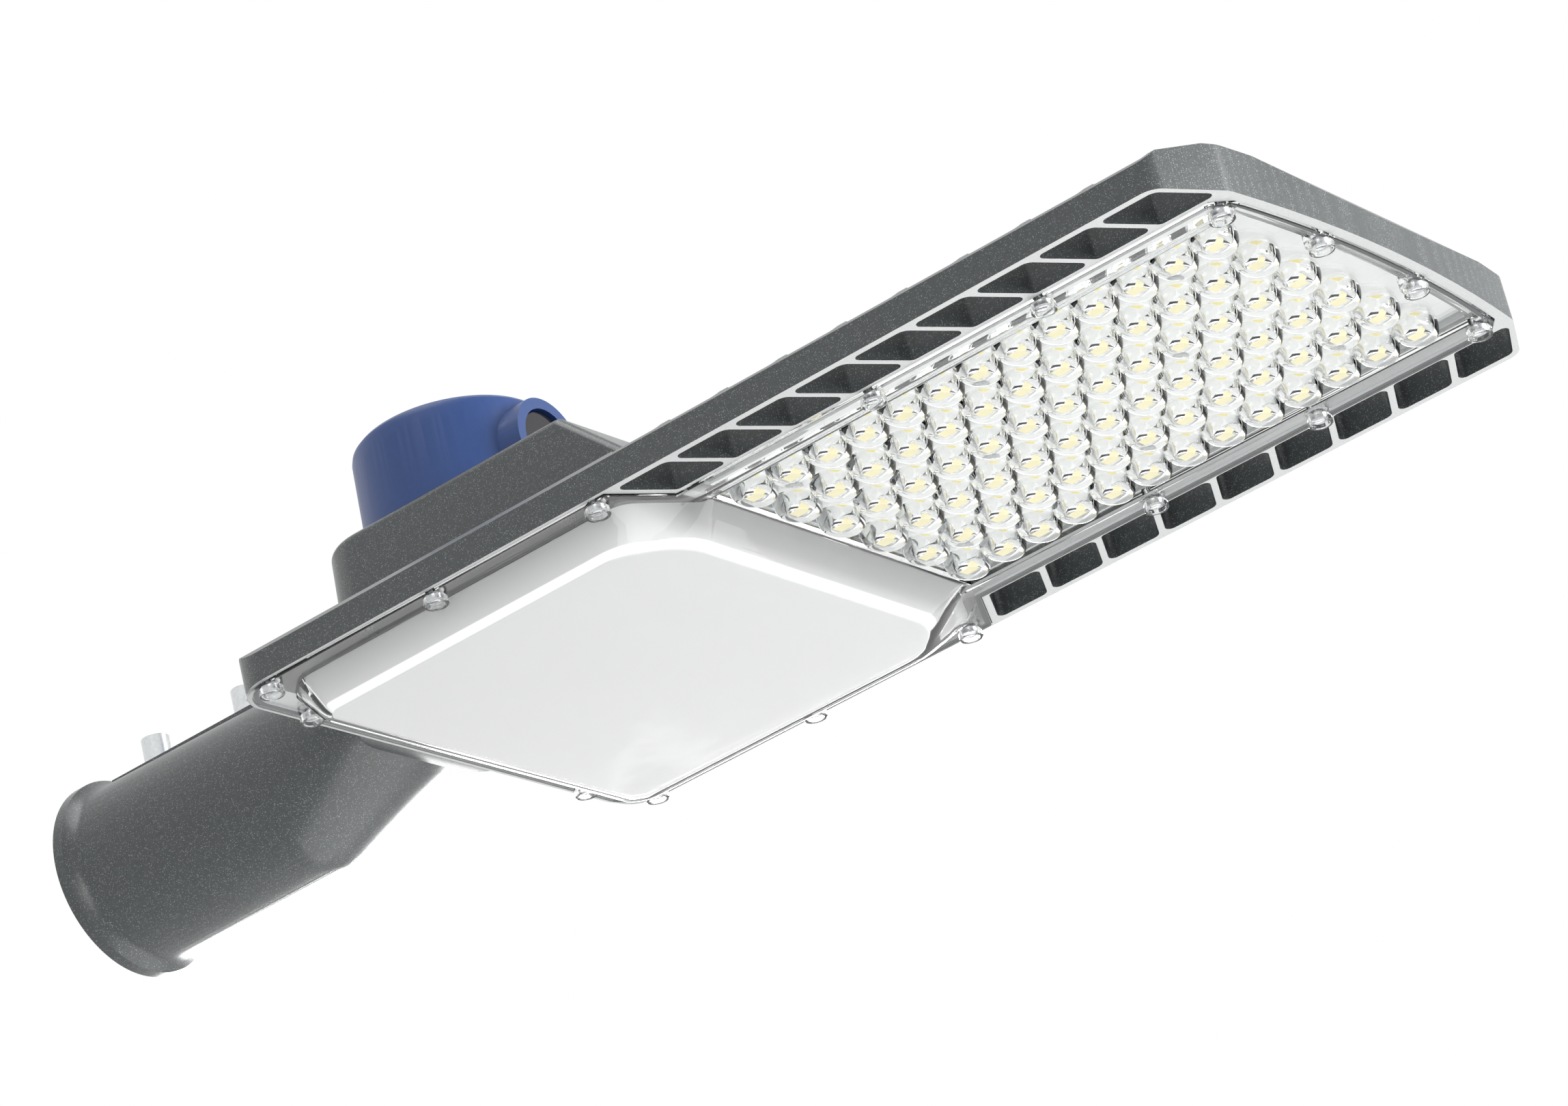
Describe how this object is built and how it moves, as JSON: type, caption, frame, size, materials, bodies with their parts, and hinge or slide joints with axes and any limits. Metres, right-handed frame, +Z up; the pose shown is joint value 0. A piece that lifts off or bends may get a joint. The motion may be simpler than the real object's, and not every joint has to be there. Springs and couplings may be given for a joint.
{
  "type": "led street light head",
  "caption": "Cast street light head with a bored pole socket, driver hump, twist-lock photocontrol, side cooling slots and a clear moulded lens cover over its light field.",
  "frame": {"origin": "centre of the pole socket's mouth, on the axis of its bore", "axes": "+X out along the road arm from the pole end towards the tip, +Y across the head, +Z up; the light shines down along -Z"},
  "size_m": [0.6294, 0.251, 0.1494],
  "materials": {
    "powder_coat": "dark grey fine-textured powder coat on die-cast aluminium",
    "zinc_steel": "zinc-plated steel",
    "stainless": "stainless steel",
    "black_rubber": "moulded black rubber",
    "grey_silicone": "grey silicone rubber",
    "clear_cover": "clear moulded polycarbonate",
    "white_board": "white solder mask on a metal-core board",
    "phosphor": "pale yellow phosphor",
    "white_plastic": "moulded off-white plastic",
    "pale_tray": "pale grey moulded sheet",
    "driver_case": "anodised aluminium case",
    "black_plastic": "moulded black plastic",
    "brass_contact": "plain brass",
    "green_board": "green circuit board",
    "blue_cap": "blue moulded polypropylene",
    "dark_window": "dark tinted acrylic"
  },
  "bodies": {
    "root": {"housing": "powder_coat", "pole_socket": "powder_coat", "clamp_screws": "zinc_steel", "socket_bolts": "stainless", "wire_grommet": "black_rubber", "clear_cover": "clear_cover", "cover_gasket": "grey_silicone", "cover_screws": "stainless", "led_board": "white_board", "led_chips": "phosphor", "thermal_pad": "grey_silicone", "board_screws": "stainless", "board_plug": "white_plastic", "driver_shroud": "pale_tray", "shroud_screws": "stainless", "driver_plate": "zinc_steel", "driver_screws": "stainless", "led_driver": "driver_case", "terminal_block": "white_plastic", "surge_protector": "black_plastic", "earth_screw": "brass_contact", "receptacle": "black_plastic", "receptacle_gasket": "black_rubber", "receptacle_screws": "stainless", "control_gasket": "black_rubber", "photocontrol_base": "black_plastic", "contact_blades": "brass_contact", "control_board": "green_board", "photocontrol_cap": "blue_cap", "window_disc": "dark_window"}
  },
  "joints": []
}
